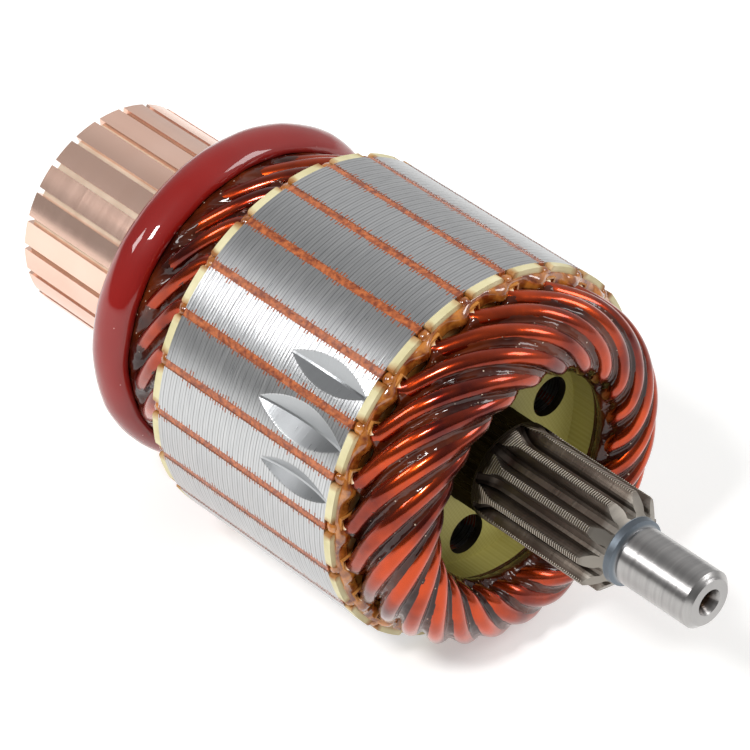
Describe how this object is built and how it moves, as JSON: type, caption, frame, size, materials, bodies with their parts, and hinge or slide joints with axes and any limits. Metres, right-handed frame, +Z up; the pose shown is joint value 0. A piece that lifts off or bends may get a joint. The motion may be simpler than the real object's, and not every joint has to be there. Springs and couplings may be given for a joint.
{
  "type": "motor armature",
  "caption": "Wound armature of a geared starter motor: slotted steel stack, red enamelled end turns, copper commutator with resin band, and a shaft with a sun gear and ground journals",
  "frame": {"origin": "middle of the ground drive-end journal, on the shaft axis", "axes": "+X along the shaft, out of the drive end; +Z up through the middle of the uppermost tooth of the stack; +Y to the left when looking from the commutator towards the drive end"},
  "size_m": [0.1232, 0.054, 0.054],
  "materials": {
    "shaft_steel": "hardened steel, ground journals, milled gear teeth, dark rolled knurl",
    "core_steel": "turned stack of thin electrical steel sheets",
    "bush_steel": "plain turned steel",
    "end_plate": "cream vulcanised fibre, matte",
    "fibre_band": "varnished fibre strip, brown and glossy outside",
    "slot_paper": "insulating slot paper, cream",
    "slot_strip": "insulating strip",
    "layer_paper": "insulating paper, soaked with varnish",
    "slot_resin": "orange trickle resin in the slot mouths",
    "commutator_mould": "moulded resin, matte",
    "riser_resin": "deep red resin, poured and glossy",
    "shaft_sleeve": "insulating sleeve",
    "enamelled_copper": "copper wire with glossy red-orange enamel and varnish",
    "commutator_copper": "pale polished copper, turned"
  },
  "bodies": {
    "root": {"shaft": "shaft_steel", "lamination_core": "core_steel", "drive_end_plate": "end_plate", "commutator_end_plate": "end_plate", "slot_liners": "slot_paper", "slot_separators": "slot_strip", "slot_resin": "slot_resin", "drive_end_layer_ring": "layer_paper", "drive_end_band": "fibre_band", "commutator_end_layer_ring": "layer_paper", "commutator_hub": "commutator_mould", "commutator_bush": "bush_steel", "riser_band": "riser_resin", "shaft_sleeve": "shaft_sleeve", "coil_01": "enamelled_copper", "coil_02": "enamelled_copper", "coil_03": "enamelled_copper", "coil_04": "enamelled_copper", "coil_05": "enamelled_copper", "coil_06": "enamelled_copper", "coil_07": "enamelled_copper", "coil_08": "enamelled_copper", "coil_09": "enamelled_copper", "coil_10": "enamelled_copper", "coil_11": "enamelled_copper", "coil_12": "enamelled_copper", "coil_13": "enamelled_copper", "coil_14": "enamelled_copper", "coil_15": "enamelled_copper", "coil_16": "enamelled_copper", "coil_17": "enamelled_copper", "coil_18": "enamelled_copper", "coil_19": "enamelled_copper", "coil_20": "enamelled_copper", "coil_21": "enamelled_copper", "coil_22": "enamelled_copper", "coil_23": "enamelled_copper", "bar_01": "commutator_copper", "bar_02": "commutator_copper", "bar_03": "commutator_copper", "bar_04": "commutator_copper", "bar_05": "commutator_copper", "bar_06": "commutator_copper", "bar_07": "commutator_copper", "bar_08": "commutator_copper", "bar_09": "commutator_copper", "bar_10": "commutator_copper", "bar_11": "commutator_copper", "bar_12": "commutator_copper", "bar_13": "commutator_copper", "bar_14": "commutator_copper", "bar_15": "commutator_copper", "bar_16": "commutator_copper", "bar_17": "commutator_copper", "bar_18": "commutator_copper", "bar_19": "commutator_copper", "bar_20": "commutator_copper", "bar_21": "commutator_copper", "bar_22": "commutator_copper", "bar_23": "commutator_copper"}
  },
  "joints": []
}
